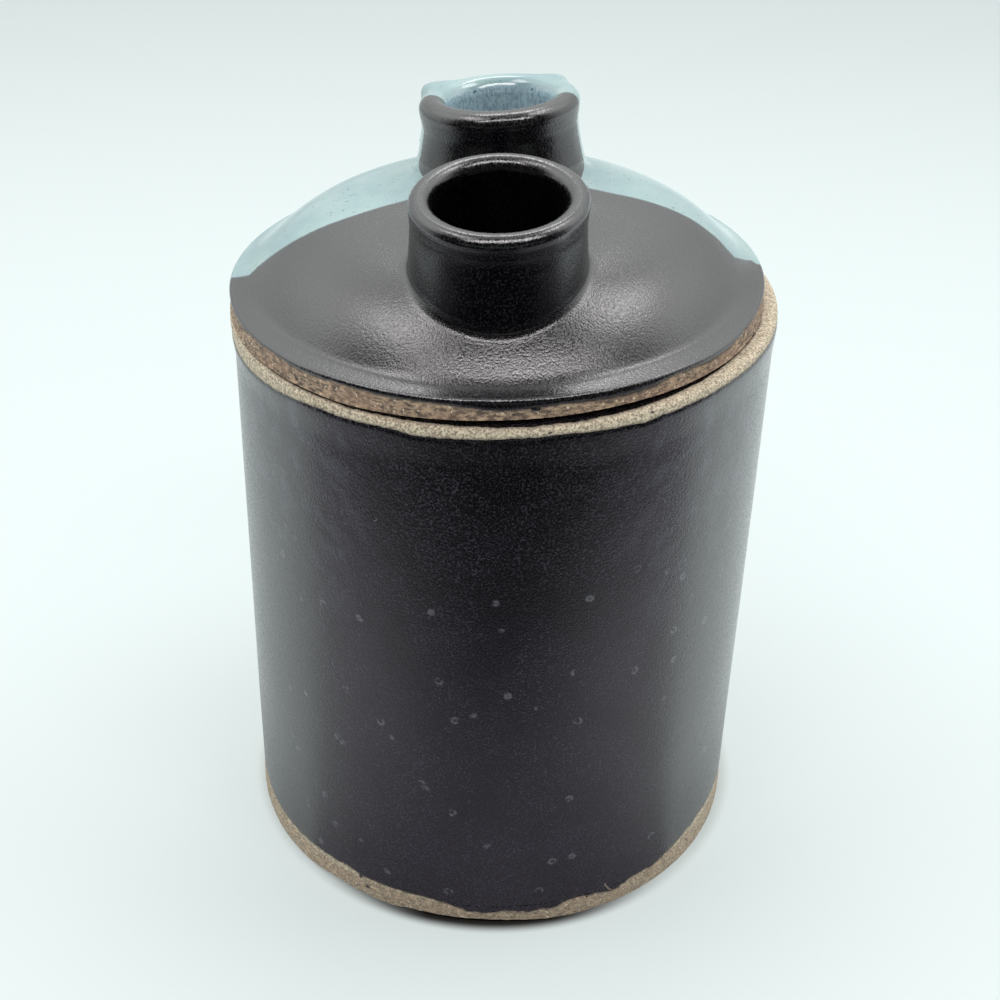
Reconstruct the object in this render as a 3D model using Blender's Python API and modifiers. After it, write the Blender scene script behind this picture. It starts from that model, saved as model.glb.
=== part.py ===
"""Covered canister vase in stoneware: a straight round canister, and a loose domed lid
that carries two short flower spouts, one behind the other.

Metres, +Z up. The foot stands on z = 0, the body's axis is the Z axis, and -Y faces the viewer.
The body is a wall on a floor disc. The lid is a slab with a locating ring under it and two
spouts on top, and it lies a little to the left on the rim, within the play of its ring.
"""
import math

import bmesh
import bpy

# Joints between clay pieces, and how far a cutter runs past what it cuts
CLAY_GAP = 0.0003
CUT_OVERRUN = 0.004

# Body: the wall stands on the floor disc, which is the foot
BODY_RADIUS = 0.0650
BODY_HEIGHT = 0.1474
WALL_THICKNESS = 0.0055
FLOOR_THICKNESS = 0.0060
FOOT_STEP = 0.0004
FOOT_ROUNDING = 0.0010
RIM_FLARE = 0.0005
RIM_FLARE_HEIGHT = 0.0070
RIM_OUTER_DROP = 0.0012
RIM_OUTER_SLOPE = 0.0017
RIM_INNER_CHAMFER = 0.0008

# Lid: a slab with a flat brim and a dome that is flat on top and steep at its foot
LID_INSET = 0.0016
LID_SHIFT_X = -0.0012
LID_THICKNESS = 0.0054
LID_EDGE_ROUNDING = 0.0012
LID_UNDER_CHAMFER = 0.0005
BRIM_WIDTH = 0.0059
BRIM_RISE = 0.0013
DOME_RISE = 0.0152
DOME_POWER = 4.6
DOME_INNER_INSET = 0.0030

# Locating ring under the lid
RING_CLEARANCE = 0.0018
RING_THICKNESS = 0.0040
RING_DEPTH = 0.0100
RING_CHAMFER = 0.0008

# Spouts: place on the lid, size, and lean to the front and to the right in degrees
FRONT_SPOUT_X = 0.0002
FRONT_SPOUT_Y = -0.0315
FRONT_SPOUT_RADIUS = 0.0194
FRONT_SPOUT_FOOT_RADIUS = 0.0200
FRONT_SPOUT_WALL = 0.0050
FRONT_SPOUT_HEIGHT = 0.0180
FRONT_SPOUT_LEAN = 7.0
FRONT_SPOUT_SIDE_LEAN = -0.4
REAR_SPOUT_X = 0.0006
REAR_SPOUT_Y = 0.0170
REAR_SPOUT_RADIUS = 0.0188
REAR_SPOUT_FOOT_RADIUS = 0.0202
REAR_SPOUT_WALL = 0.0064
REAR_SPOUT_HEIGHT = 0.0212
REAR_SPOUT_LEAN = -3.7
REAR_SPOUT_SIDE_LEAN = -3.0
SPOUT_LIP_SWELL = 0.0004
SPOUT_LIP_HEIGHT = 0.0040
SPOUT_ROOT = 0.0080

# Smoothness of the turned shapes
BODY_STEPS = 72
SPOUT_STEPS = 48
DOME_POINTS = 14
LIP_POINTS = 10
ROUNDING_POINTS = 4
MERGE_DISTANCE = 0.00001

# Sizes that follow from those above
WALL_INNER_RADIUS = BODY_RADIUS - WALL_THICKNESS
FOOT_RADIUS = BODY_RADIUS + FOOT_STEP
LID_UNDERSIDE = BODY_HEIGHT + CLAY_GAP
LID_RADIUS = BODY_RADIUS - LID_INSET
CREASE_RADIUS = LID_RADIUS - BRIM_WIDTH
CREASE_HEIGHT = LID_THICKNESS + BRIM_RISE
DOME_TOP = CREASE_HEIGHT + DOME_RISE
DOME_INNER_RADIUS = CREASE_RADIUS - DOME_INNER_INSET
DOME_INNER_TOP = DOME_TOP - LID_THICKNESS
RING_RADIUS = WALL_INNER_RADIUS - RING_CLEARANCE

# Finish of each piece: base colour and roughness
DARK_GLAZE = ((0.036, 0.035, 0.042), 0.38)
PALE_GLAZE = ((0.46, 0.56, 0.55), 0.25)
BARE_CLAY = ((0.42, 0.32, 0.23), 0.85)


def clear_scene():
    """Empty the scene of every object that it holds."""
    for obj in list(bpy.data.objects):
        bpy.data.objects.remove(obj, do_unlink=True)


def new_collection(name):
    """A new collection in the scene."""
    collection = bpy.data.collections.new(name)
    bpy.context.scene.collection.children.link(collection)
    return collection


def finish_piece(obj, finish):
    """Give a piece its own material, from a base colour and a roughness."""
    colour, roughness = finish
    material = bpy.data.materials.new(obj.name)
    material.use_nodes = True
    shader = material.node_tree.nodes["Principled BSDF"]
    shader.inputs["Base Color"].default_value = (*colour, 1.0)
    shader.inputs["Roughness"].default_value = roughness
    shader.inputs["Metallic"].default_value = 0.0
    obj.data.materials.append(material)


def arc(centre, radii, start, end, points):
    """Outline points along an oval arc, its angles in degrees."""
    angles = [math.radians(start + (end - start) * i / (points - 1)) for i in range(points)]
    return [(centre[0] + radii[0] * math.cos(a), centre[1] + radii[1] * math.sin(a)) for a in angles]


def dome_height(share, foot_height, top_height):
    """Height of a dome at a share of its foot's radius."""
    return foot_height + (top_height - foot_height) * (1.0 - share ** DOME_POWER)


def dome_outline(foot_radius, foot_height, top_height):
    """The dome's outline from the axis out to its foot, with closer points where it is steep."""
    shares = [math.sin(0.5 * math.pi * i / DOME_POINTS) for i in range(DOME_POINTS + 1)]
    return [(foot_radius * s, dome_height(s, foot_height, top_height)) for s in shares]


def turned(name, outline, closed, steps, collection):
    """A solid turned about its own Z axis, from an outline that runs down its outer side."""
    mesh = bpy.data.meshes.new(name)
    bm = bmesh.new()
    verts = [bm.verts.new((radius, 0.0, height)) for radius, height in outline]
    for first, second in zip(verts, verts[1:]):
        bm.edges.new((first, second))
    if closed:
        bm.edges.new((verts[-1], verts[0]))
    bm.to_mesh(mesh)
    bm.free()
    obj = bpy.data.objects.new(name, mesh)
    collection.objects.link(obj)
    screw = obj.modifiers.new("Turn", 'SCREW')
    screw.axis = 'Z'
    screw.angle = 2.0 * math.pi
    screw.steps = steps
    screw.render_steps = steps
    screw.use_merge_vertices = True
    screw.merge_threshold = MERGE_DISTANCE
    screw.use_smooth_shade = True
    return obj


def cut(obj, cutter):
    """Take the cutter's shape out of a piece."""
    boolean = obj.modifiers.new("Cut " + cutter.name, 'BOOLEAN')
    boolean.operation = 'DIFFERENCE'
    boolean.solver = 'EXACT'
    boolean.object = cutter
    cutter.hide_render = True
    cutter.display_type = 'WIRE'


def floor_disc(collection):
    """The floor, a disc that is a little wider than the wall and forms the foot."""
    top = FLOOR_THICKNESS
    r = FOOT_ROUNDING
    outline = [(0.0, top), (FOOT_RADIUS - r, top), (FOOT_RADIUS, top - r)]
    outline += arc((FOOT_RADIUS - r, r), (r, r), 0, -90, ROUNDING_POINTS)
    outline += [(0.0, 0.0)]
    obj = turned("floor_disc", outline, False, BODY_STEPS, collection)
    finish_piece(obj, BARE_CLAY)
    return obj


def body_wall(collection):
    """The wall, with a rim that flares a little and falls away to the outside."""
    foot = FLOOR_THICKNESS + CLAY_GAP
    flare = BODY_RADIUS + RIM_FLARE
    shoulder = BODY_HEIGHT - RIM_OUTER_DROP
    outline = [(WALL_INNER_RADIUS + RIM_INNER_CHAMFER, BODY_HEIGHT)]
    outline += arc((flare - RIM_OUTER_SLOPE, shoulder), (RIM_OUTER_SLOPE, RIM_OUTER_DROP),
                   90, 0, ROUNDING_POINTS)
    outline += [(flare, shoulder - RIM_OUTER_DROP),
                (BODY_RADIUS, BODY_HEIGHT - RIM_FLARE_HEIGHT),
                (BODY_RADIUS, foot),
                (WALL_INNER_RADIUS, foot),
                (WALL_INNER_RADIUS, BODY_HEIGHT - RIM_INNER_CHAMFER)]
    obj = turned("body_wall", outline, True, BODY_STEPS, collection)
    finish_piece(obj, DARK_GLAZE)
    return obj


def lid_seat():
    """The empty that carries the lid's pieces, on the lid's axis where its slab meets the rim."""
    seat = bpy.data.objects.new("lid_seat", None)
    seat.location = (LID_SHIFT_X, 0.0, LID_UNDERSIDE)
    return seat


def lid_top_outline(rise):
    """The lid's upper outline from the axis out to its edge, raised by a distance."""
    outline = dome_outline(CREASE_RADIUS, CREASE_HEIGHT + rise, DOME_TOP + rise)
    r = LID_EDGE_ROUNDING
    outline += arc((LID_RADIUS - r, LID_THICKNESS - r + rise), (r, r), 90, 0, ROUNDING_POINTS)
    return outline


def lid_slab(collection, seat):
    """The domed slab of the lid, hollow below its dome."""
    outline = lid_top_outline(0.0)
    outline += [(LID_RADIUS, LID_UNDER_CHAMFER), (LID_RADIUS - LID_UNDER_CHAMFER, 0.0)]
    outline += reversed(dome_outline(DOME_INNER_RADIUS, 0.0, DOME_INNER_TOP))
    obj = turned("lid_slab", outline, False, BODY_STEPS, collection)
    obj.parent = seat
    finish_piece(obj, PALE_GLAZE)
    return obj


def locating_ring(collection, seat):
    """The ring that hangs in the mouth and keeps the lid from sliding off."""
    top = -CLAY_GAP
    bottom = -RING_DEPTH
    inner = RING_RADIUS - RING_THICKNESS
    outline = [(inner, top), (RING_RADIUS, top),
               (RING_RADIUS, bottom + RING_CHAMFER), (RING_RADIUS - RING_CHAMFER, bottom),
               (inner + RING_CHAMFER, bottom), (inner, bottom + RING_CHAMFER)]
    obj = turned("locating_ring", outline, True, BODY_STEPS, collection)
    obj.parent = seat
    finish_piece(obj, DARK_GLAZE)
    return obj


def place_spout(obj, seat, place, leans):
    """Stand a spout, or its bore, on the dome at its place on the lid."""
    obj.parent = seat
    foot = dome_height(math.hypot(*place) / CREASE_RADIUS, CREASE_HEIGHT, DOME_TOP)
    obj.location = (*place, foot)
    obj.rotation_euler = (math.radians(leans[0]), math.radians(leans[1]), 0.0)


def spout_outline(radius, foot_radius, wall, height):
    """Closed outline of a spout's wall: a round lip that swells a little, a neck and a wider foot."""
    half = 0.5 * wall
    lip = arc((radius - half, height - half), (half, half), 180, 0, LIP_POINTS)
    neck = (radius - SPOUT_LIP_SWELL, height - half - SPOUT_LIP_HEIGHT)
    return lip + [neck, (foot_radius, 0.0), (foot_radius, -SPOUT_ROOT), (radius - wall, -SPOUT_ROOT)]


def spout(name, placing, size, seat, pieces, cutters):
    """A spout that is cut to sit on the dome, and the bore that goes on through the slab."""
    radius, foot_radius, wall, height = size
    outline = spout_outline(radius, foot_radius, wall, height)
    obj = turned(name, outline, True, SPOUT_STEPS, pieces)
    place_spout(obj, seat, *placing)
    finish_piece(obj, DARK_GLAZE)
    bore_radius = radius - wall
    bottom = -DOME_TOP - CUT_OVERRUN
    outline = [(0.0, height), (bore_radius, height), (bore_radius, bottom), (0.0, bottom)]
    bore = turned(name + "_bore", outline, False, SPOUT_STEPS, cutters)
    place_spout(bore, seat, *placing)
    return obj, bore


def dome_cutter(seat, cutters):
    """A solid as high as the lid's top and one joint gap more, which cuts the spouts' feet."""
    outline = lid_top_outline(CLAY_GAP)
    bottom = -SPOUT_ROOT - CUT_OVERRUN
    outline += [(LID_RADIUS, bottom), (0.0, bottom)]
    obj = turned("dome_cutter", outline, False, BODY_STEPS, cutters)
    obj.parent = seat
    return obj


def main():
    """Model the canister and its lid."""
    clear_scene()
    pieces = new_collection("covered_canister_vase")
    cutters = new_collection("cutters")
    floor_disc(pieces)
    body_wall(pieces)
    seat = lid_seat()
    pieces.objects.link(seat)
    slab = lid_slab(pieces, seat)
    locating_ring(pieces, seat)
    feet = dome_cutter(seat, cutters)
    spouts = [
        ("front_spout",
         ((FRONT_SPOUT_X, FRONT_SPOUT_Y), (FRONT_SPOUT_LEAN, FRONT_SPOUT_SIDE_LEAN)),
         (FRONT_SPOUT_RADIUS, FRONT_SPOUT_FOOT_RADIUS, FRONT_SPOUT_WALL, FRONT_SPOUT_HEIGHT)),
        ("rear_spout",
         ((REAR_SPOUT_X, REAR_SPOUT_Y), (REAR_SPOUT_LEAN, REAR_SPOUT_SIDE_LEAN)),
         (REAR_SPOUT_RADIUS, REAR_SPOUT_FOOT_RADIUS, REAR_SPOUT_WALL, REAR_SPOUT_HEIGHT)),
    ]
    for name, placing, size in spouts:
        obj, bore = spout(name, placing, size, seat, pieces, cutters)
        cut(obj, feet)
        cut(slab, bore)
    bpy.context.view_layer.update()


main()
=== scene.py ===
"""Looks of the covered canister vase: fine meshes with glaze relief in place of the six CAD
pieces, procedural stoneware, a pale floor, soft light and the photo's camera.

Metres and degrees. Angles round the axis count from the front (-Y), to the right (+X) positive.
A name for a pair of limits says where an even step starts and where it is full.
"""
import itertools
import math
from collections import namedtuple

import bpy
import numpy as np
from mathutils import Matrix, Vector


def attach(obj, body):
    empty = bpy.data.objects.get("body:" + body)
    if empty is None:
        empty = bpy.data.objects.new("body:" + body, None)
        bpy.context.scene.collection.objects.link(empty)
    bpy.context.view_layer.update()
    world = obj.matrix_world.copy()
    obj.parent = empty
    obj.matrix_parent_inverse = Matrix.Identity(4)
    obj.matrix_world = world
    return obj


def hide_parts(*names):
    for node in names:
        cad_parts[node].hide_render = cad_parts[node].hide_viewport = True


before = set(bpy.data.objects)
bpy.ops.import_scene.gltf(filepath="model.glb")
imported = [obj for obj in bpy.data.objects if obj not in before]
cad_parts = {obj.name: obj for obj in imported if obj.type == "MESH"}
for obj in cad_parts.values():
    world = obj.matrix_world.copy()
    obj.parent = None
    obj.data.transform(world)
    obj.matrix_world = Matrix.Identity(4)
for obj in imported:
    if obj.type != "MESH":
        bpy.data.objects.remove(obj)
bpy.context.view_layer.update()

MM = 0.001
TINY = 1e-6

# Body, with the CAD's sizes or close to them
BODY_RADIUS = 0.0650
BODY_HEIGHT = 0.1474
WALL_INNER = 0.0595
FLOOR_TOP = 0.0060
FOOT_SEAM = 0.00615
FOOT_STEP = 0.0004
FOOT_BEVEL = 0.0025
FOOT_RIM = 0.006
RIM_DROP = 0.0014
RIM_SLOPE = 0.0017
RIM_CHAMFER = 0.0008
FLARE = 0.0005
FLARE_LEFT = 0.0005
FLARE_TURN = (-20.0, -70.0)
FLARE_HEIGHT = 0.0110
FLARE_TOP = 0.0010
FLARE_RADII = (0.0630, 0.0645)
# Outer limit of the black glaze on the rim's top, a painted shade of the gap under the lid
RIM_PAINTED_SHADE_MOST = 0.0640
RIM_LINE_START = 0.03
RIM_LINE_FULL = 0.002

# Lid, in the same way
LID_SHIFT_X = -0.0012
LID_RADIUS = 0.0636
LID_UNDERSIDE = 0.1477
LID_ROUNDING = 0.0011
LID_EDGE_HEIGHT = 0.0048
LID_CHAMFER = 0.0001
SEAT_GAP = 0.00012
SEAT_GAP_RADIUS = 0.0585
CREASE_RADIUS = 0.05845
CREASE_TOP = 0.15385
CREASE_FRONT = 0.0006
CREASE_FRONT_WIDTH = 19.0
CREASE_JOIN = 0.0008
CREASE_JOINS = ((0.0046, (50.0, 90.0)), (0.0016, (32.0, 14.0)))
BRIM_SLOPE = 0.30
BRIM_SLOPE_FRONT = 0.16
BRIM_SLOPE_TURN = (30.0, 75.0)
DOME_TOP = 0.1706
DOME_POWER = 4.7
HOLLOW_RADIUS = 0.0545
HOLLOW_TOP = 0.1642
SAG = 0.20
SAG_LENGTH = 0.014
SAG_WIDTH = 32.0
COLLAR_WIDTH = 0.0050
COLLAR_RADII = (0.0620, 0.0570)

# The CAD's dome: radius, height where it starts, height of its top, and power
CAD_DOME = (0.0575, 0.1544, 0.1696, 4.6)

# Locating ring: inner and outer radius, bottom, top, and chamfer
RING = (0.0537, 0.0577, 0.1377, 0.1474, 0.0008)

# Spouts. A collar is the lid's rise round the foot, and a corner is (degrees, size, width in degrees)
Spout = namedtuple("Spout", "x y lean_front lean_side radius foot_radius wall height lip_out lip_in "
                            "lip_power crest fillet foot_swell collar corners")
FRONT = Spout(x=0.0002, y=-0.0315, lean_front=7.0, lean_side=-0.4, radius=0.0194, foot_radius=0.0196,
              wall=0.0050, height=0.0180, lip_out=0.0022, lip_in=0.0032, lip_power=2.2, crest=0.0172,
              fillet=0.0012, foot_swell=0.0008, collar=0.0007, corners=())
REAR = Spout(x=0.0006, y=0.0170, lean_front=-3.7, lean_side=-3.0, radius=0.0188, foot_radius=0.0198,
             wall=0.0064, height=0.0212, lip_out=0.0030, lip_in=0.0038, lip_power=2.0, crest=0.0159,
             fillet=0.0030, foot_swell=0.0, collar=0.0014,
             corners=((-127.0, 0.0048, 11.0), (134.0, 0.0028, 11.0), (0.0, 0.0009, 50.0),
                      (-100.0, 0.0005, 35.0), (90.0, 0.0003, 40.0)))
Placing = namedtuple("Placing", "centre across ahead axis")
NECK_DEPTH = 0.0040
NECK_TAPER = 0.0004
BORE_DEPTH = 0.0040
LIP_DEPTH = 0.0040
LIP_ROWS = 6
FOOT_SWELL_WIDTH = 50.0
WALL_POWER = 1.5
FILLET_LIFT = 0.00003
RUN_OUT = ((0.0005, 0.00001), (0.0010, -0.00002), (0.0015, -0.00006), (0.0019, -0.0004))
CORNER_SHARES = (0.75, 0.1)
# Where the painted light and shade inside a bore starts and is full, as shares of the wall's thickness
BORE_LIGHT_AND_SHADE_SHARES = (0.86, 0.99)
LOOSE_ROWS = 12.0
CUTTER_ENDS = (0.02, -0.03)

# Hand-made unevenness that the photo shows: a lean to the right with height, and a tilt
LEAN = 0.0092
LEAN_CENTRE = 0.074
TILT = 0.0146
TILT_HEIGHT = 0.148
LID_LEAN_CENTRE = 0.154
LID_TILT = 0.0204

# Lines round the body, read off the photo: (degrees, millimetres above the table)
RIM_TOP_LINE = ((-150, 147.4), (-75, 147.5), (-55, 147.4), (-30, 146.9), (-10, 147.2), (10, 147.5),
                (30, 147.8), (50, 148.0), (75, 147.9), (120, 147.6))
RIM_GLAZE_LINE = ((-150, 143.6), (-105, 142.7), (-65, 142.7), (-50, 143.6), (-40, 144.7),
                  (-25, 145.1), (-19, 144.9), (-17, 144.3), (-8, 144.7), (5, 145.15), (15, 145.3),
                  (25, 144.7), (28, 144.4), (31, 145.0), (40, 145.2), (50, 145.4), (65, 145.2),
                  (100, 144.6))
FOOT_GLAZE_LINE = ((-140, 6.2), (-90, 7.4), (-65, 6.8), (-50, 7.2), (-36, 8.1), (-30, 7.0),
                   (-15, 6.8), (-9, 5.9), (-2.5, 4.0), (3, 4.6), (8, 4.1), (13.8, 3.9), (14.3, 2.9),
                   (14.8, 4.4), (19, 5.9), (25, 5.3), (29, 4.4), (35, 5.8), (42, 5.7), (50, 7.5),
                   (58, 8.8), (80, 8.2), (120, 7.0))
LID_GLAZE_LINE = ((-150, 151.6), (-75, 152.0), (-50, 152.3), (-42, 151.8), (-37, 151.9),
                  (-35, 152.2), (-15, 151.9), (-7, 151.7), (-3, 150.9), (2, 150.6), (8, 151.1),
                  (14, 151.3), (25, 150.8), (33, 150.8), (34.5, 151.8), (44, 151.9), (46, 151.4),
                  (54, 151.2), (60, 152.2), (75, 152.6), (110, 151.8))
FOOT_PINHOLES = ((-31.0, 6.6), (-29.0, 4.3))
FOOT_HOOK = ((27.4, 7.3), (27.6, 6.8), (27.9, 6.3), (28.2, 5.8), (28.5, 5.3), (28.8, 4.8))
BAND_PIT = (8.0, 150.75)
PINHOLE_RADIUS = 0.0004
HOOK_RADIUS = 0.00035
BAND_PIT_SIZE = (0.0011, 0.00045)

# The foot's undercut, how far the rim's black band of painted shade reaches past the lid's edge, and the
# lid's gap: (degrees, millimetres)
UNDERCUT_LINE = ((-140, 0.5), (-60, 0.6), (-45, 1.1), (-38, 2.0), (-30, 1.6), (-22, 1.2),
                      (-19, 2.1), (0, 1.9), (6, 1.5), (14, 0.6), (25, 0.4), (90, 0.5))
RIM_PAINTED_SHADE_LINE = ((-150, 0.1), (-75, 0.4), (-45, 0.5), (-20, 0.7), (0, 0.8), (25, 0.8), (40, 0.4),
                 (55, 0.0), (90, -0.1))
LID_GAP_LINE = ((-150, 0.3), (-75, 0.5), (-60, 0.55), (-30, 0.55), (-15, 0.75), (0, 0.95),
                (25, 0.9), (40, 0.5), (55, 0.15), (90, 0.2))
LINE_SOFTENING = (-1.2, -0.6, 0.0, 0.6, 1.2)

# Where the black glaze on the lid ends and the blue one begins: (x, y) in millimetres
DIP_LINE = ((-80, -4.4), (-62.5, -4.5), (-60.4, -6.2), (-58.1, -8.2), (-56.2, -7.5), (-54.2, -7.8),
            (-50.2, -8.4), (-46.3, -8.5), (-44.4, -8.5), (-40.7, -7.9), (-37, -7.2), (-33.4, -6.1),
            (-29.8, -4.6), (-26.2, -3.0), (-22.6, -1.6), (-14, 2.4), (0, 5.0), (14, 5.6), (21, 4.7),
            (28.9, 3.0), (34.6, 1.8), (38.3, 0.9), (42.1, 0.1), (45.9, -0.7), (49.8, -2.0),
            (51.8, -2.5), (53.7, -3.9), (55.7, -4.6), (58.2, -1.3), (60.8, 2.4), (62.1, 2.0),
            (64, 2.4))

# The same edge on the rear spout, as Y and its slope along X: at the foot, then what a pair of
# heights adds to it
REAR_BLUE_FOOT = (0.0025, 0.14)
REAR_BLUE_STEPS = (((0.1722, 0.1748), 0.0105, -0.12), ((0.1840, 0.1900), 0.0035, -0.16))

# Coats of glaze
GLAZE_THICKNESS = 0.00028
GLAZE_RUN_OUT = 0.00045
GLAZE_BEAD = 0.00003
BEAD_PLACE = 0.0007
BEAD_WIDTH = 0.0006
EDGE_GRAIN = 0.0011
EDGE_RAGGEDNESS = 0.00016
RIM_RAGGEDNESS = 0.8
FAR_INSIDE = 0.01

# Unevenness: (height, size, seed) of each grain
DRIPS = (0.00022, 0.0028, 15)
WALL_WAVE = (0.00012, 0.035, 21)
WALL_CLAY = (0.00004, 0.0007, 22)
RIM_CLAY = (0.00004, 0.0007, 23)
CUT_CLAY = (0.00006, 0.0007, 43)
UNDERCUT_WAVE = (0.00012, 0.0015, 31)
RING_WAVES = ((0.00008, 0.006, 51), (0.00004, 0.0007, 52))
SPOUT_WAVES = ((0.00018, 0.016, 61), (0.00005, 0.004, 62))
REAR_BLUE_WAVE = (0.0004, 0.003, 71)
SPOUT_LINES = 0.00003
LINES_SEED = 63
WALL_WAVE_RADII = (0.03, 0.06)
BARE_STEP = (0.0, -0.0002)
CUT_STRETCH = (0.35, 0.35, 1.0)
UNDERCUT_PULL = 1.2

# How brown the clay is, from tan at 0 to the lid's cut edge at 1; the foot is browner in front as painted
# shade
FOOT_BROWN = 0.50
FOOT_PAINTED_SHADE_FRONT = 0.12
FOOT_PAINTED_SHADE_TURN = (45.0, 10.0)
HIDDEN_BROWN = 0.35

# Fineness of the meshes
COLUMNS = 720
SPOUT_COLUMNS = 240
FINE_STEP = 0.00022
COARSE_STEP = 0.0020
FOOT_FINE = 0.012
FOOT_POLE = 0.0005
LID_POLE = 0.0003
LID_STEPS = (0.0007, 0.0003, 0.0006, 0.0012)
LID_FINE = 0.004
RIM_POINTS = 12
ROUNDING_POINTS = 9
RING_POINTS = 6
RING_STEPS = (0.001, 0.0008)
LIP_POINTS = (20, 16)
BORE_STEP = 0.0008
NECK_STEP = 0.0005
WALL_STEP = 0.08
FILLET_POINTS = 14
CROSSING_ROUNDS = 12
SHARP_ANGLE = 38.0
NEAR_TOP = 0.0004
NEAR_EDGE = 0.0012
NEAR_DOME = 0.0005

TABLE_SIZE = 4096
HASH_FACTORS = (73856093, 19349663, 83492791)


def grain(points, size, seed):
    """Smooth random values from -1 to 1 at points, with bumps of about one size."""
    table = np.random.default_rng(seed).uniform(-1.0, 1.0, TABLE_SIZE)
    cell = points / size
    low = np.floor(cell).astype(np.int64)
    part = cell - low
    part = part * part * (3.0 - 2.0 * part)
    total = np.zeros(points.shape[:-1])
    for corner in itertools.product((0, 1), repeat=3):
        index = (low + corner) * HASH_FACTORS
        key = (index[..., 0] ^ index[..., 1] ^ index[..., 2]) % TABLE_SIZE
        total += np.prod(np.where(corner, part, 1.0 - part), axis=-1) * table[key]
    return total


def waves(points, *grains):
    """The sum of grains, each given as (height, size, seed)."""
    return sum(height * grain(points, size, seed) for height, size, seed in grains)


def smooth(low, high, values):
    """An even step from 0 at low to 1 at high."""
    share = np.clip((values - low) / (high - low), 0.0, 1.0)
    return share * share * (3.0 - 2.0 * share)


def round_line(marks, angles):
    """Heights in metres at angles, along a closed line through the given marks."""
    places, heights = np.transpose(marks)
    softened = [np.interp(angles + offset, places, heights * MM, period=360) for offset in LINE_SOFTENING]
    return sum(softened) / len(softened)


def angle_of(points):
    """Degrees round the axis, from the front to the right."""
    return np.degrees(np.arctan2(points[..., 0], -points[..., 1]))


def radius_of(points):
    """Distances from the axis."""
    return np.hypot(points[..., 0], points[..., 1])


def drawn(points, scale):
    """The points, moved to or from the axis by a factor."""
    moved = points.copy()
    moved[..., 0] *= scale
    moved[..., 1] *= scale
    return moved


def coat(inside):
    """Thickness of the glaze at a distance inside its edge, with the bead that it ends in."""
    body = GLAZE_THICKNESS * (1.0 - np.exp(-np.maximum(inside, 0.0) / GLAZE_RUN_OUT))
    bead = GLAZE_BEAD * np.exp(-((inside - BEAD_PLACE) / BEAD_WIDTH) ** 2)
    return np.where(inside > 0.0, body + bead, 0.0)


def raggedness(points, seed, coarse, share):
    """The wander of a glaze's edge: a fine grain, and a share of a coarser one."""
    wander = grain(points, EDGE_GRAIN, seed) + share * grain(points, coarse * EDGE_GRAIN, seed + 1)
    return EDGE_RAGGEDNESS * wander


def lean(points, centre=LEAN_CENTRE, tilt=TILT):
    """The points, moved by the lean and the tilt of the vase."""
    moved = points.copy()
    moved[..., 0] += LEAN * (points[..., 2] - centre)
    moved[..., 2] += tilt * points[..., 0] * points[..., 2] / TILT_HEIGHT
    return moved


def steps(start, end, step):
    """Values from start up to but without end, about one step apart."""
    count = max(1, round(abs(end - start) / step))
    return [start + (end - start) * i / count for i in range(count)]


def straight(start, end, step):
    """The same for outline points on a straight line."""
    length = math.hypot(end[0] - start[0], end[1] - start[1])
    return [(start[0] + (end[0] - start[0]) * s, start[1] + (end[1] - start[1]) * s)
            for s in steps(0.0, 1.0, step / length)]


def bend(centre, radii, start, end, points):
    """Outline points along an oval arc, its angles in degrees."""
    turn = [math.radians(start + (end - start) * i / (points - 1)) for i in range(points)]
    return [(centre[0] + radii[0] * math.cos(a), centre[1] + radii[1] * math.sin(a)) for a in turn]


def turned_points(outline, columns):
    """A grid of points: the outline at every column round the Z axis."""
    radius, height = np.transpose(outline)[..., None]
    angle = np.linspace(-math.pi, math.pi, columns, endpoint=False)[None, :]
    flat = np.zeros_like(radius * angle)
    return np.stack([radius * np.sin(angle), -radius * np.cos(angle), height + flat], axis=-1)


def new_object(name, data):
    """An object in the scene."""
    obj = bpy.data.objects.new(name, data)
    bpy.context.scene.collection.objects.link(obj)
    return obj


def grid_object(name, points, closed):
    """A smooth object from rows of points round an axis. An open one has a pole at each end."""
    rows, columns = points.shape[:2]
    index = np.arange(rows * columns).reshape(rows, columns)
    after = np.roll(index, -1, axis=1)
    below = np.roll(index, -1, axis=0)
    below_after = np.roll(below, -1, axis=1)
    count = rows if closed else rows - 1
    quads = np.stack([index, below, below_after, after], axis=-1)[:count].reshape(-1, 4).tolist()
    flat = points.reshape(-1, 3)
    if not closed:
        top = len(flat)
        flat = np.vstack([flat, points[0].mean(axis=0), points[-1].mean(axis=0)])
        quads += [[top, index[0, i], after[0, i]] for i in range(columns)]
        quads += [[top + 1, after[-1, i], index[-1, i]] for i in range(columns)]
    mesh = bpy.data.meshes.new(name)
    mesh.from_pydata(flat.tolist(), [], quads)
    mesh.shade_smooth()
    return new_object(name, mesh)


def set_values(obj, **named):
    """Give an object's vertices numbers for its material: one for all, or one each."""
    count = len(obj.data.vertices)
    for name, values in named.items():
        attribute = obj.data.attributes.new(name, 'FLOAT', 'POINT')
        spread = np.broadcast_to(np.ravel(values), count)
        attribute.data.foreach_set("value", spread.astype(np.float32))


# The body


def away_from(points, mark, size=(1.0, 1.0)):
    """Distance over the outside from a mark (degrees, millimetres up), in units of a size."""
    across = np.radians(angle_of(points) - mark[0]) * BODY_RADIUS / size[0]
    upwards = (points[..., 2] - mark[1] * MM) / size[1]
    return np.hypot(across, upwards)


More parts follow.
